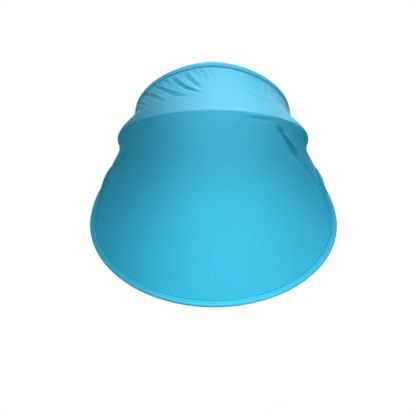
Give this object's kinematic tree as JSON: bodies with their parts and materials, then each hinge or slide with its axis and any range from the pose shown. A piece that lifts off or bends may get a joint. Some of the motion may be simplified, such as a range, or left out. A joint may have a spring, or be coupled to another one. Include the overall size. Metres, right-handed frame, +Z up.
{
  "type": "pram sun shade",
  "caption": "Stretch cloth sun shade that pulls over the front of a pram's hood, with a wide peak held open by a sprung wire rim.",
  "frame": {"origin": "middle of the ridge, where the cloth folds over the front bow of the pram's hood", "axes": "+X to the right as seen from the front, across the pram; -Y forwards, to the peak's rim; +Z up"},
  "size_m": [0.4526, 0.4375, 0.3354],
  "materials": {
    "cloth": "matt stretch knit with a faint sheen",
    "hem": "doubled stretch knit with a stitch line",
    "rim": "folded knit tape, stitched along its inner edge",
    "tape": "woven seam tape",
    "elastic": "knitted elastic",
    "wire": "spring wire",
    "eyelet": "pressed metal",
    "cap": "moulded, fine grain",
    "webbing": "woven webbing",
    "hook_and_loop": "hook and loop tape"
  },
  "bodies": {
    "cover": {"hood_panel": "cloth", "rear_hem": "hem", "rear_elastic": "elastic", "ridge_tape": "tape", "side_binding_left": "hem", "side_binding_right": "hem", "pivot_pocket_left": "cloth", "pivot_pocket_right": "cloth", "pivot_eyelet_left": "eyelet", "pivot_eyelet_right": "eyelet", "strap_left": "webbing", "strap_right": "webbing", "hook_patch_left": "hook_and_loop", "hook_patch_right": "hook_and_loop", "loop_patch_left": "hook_and_loop", "loop_patch_right": "hook_and_loop"},
    "visor": {"visor_panel": "cloth", "rim_binding": "rim", "rim_wire": "wire", "wire_cap_left": "cap", "wire_cap_right": "cap"}
  },
  "joints": [
    {"name": "visor_tilt", "type": "hinge", "parent": "cover", "child": "visor", "pos_m": [0, -0.014, -0.079], "axis": [-1, 0, 0], "range_deg": [-10, 60], "deforming": ["visor_panel"]}
  ]
}
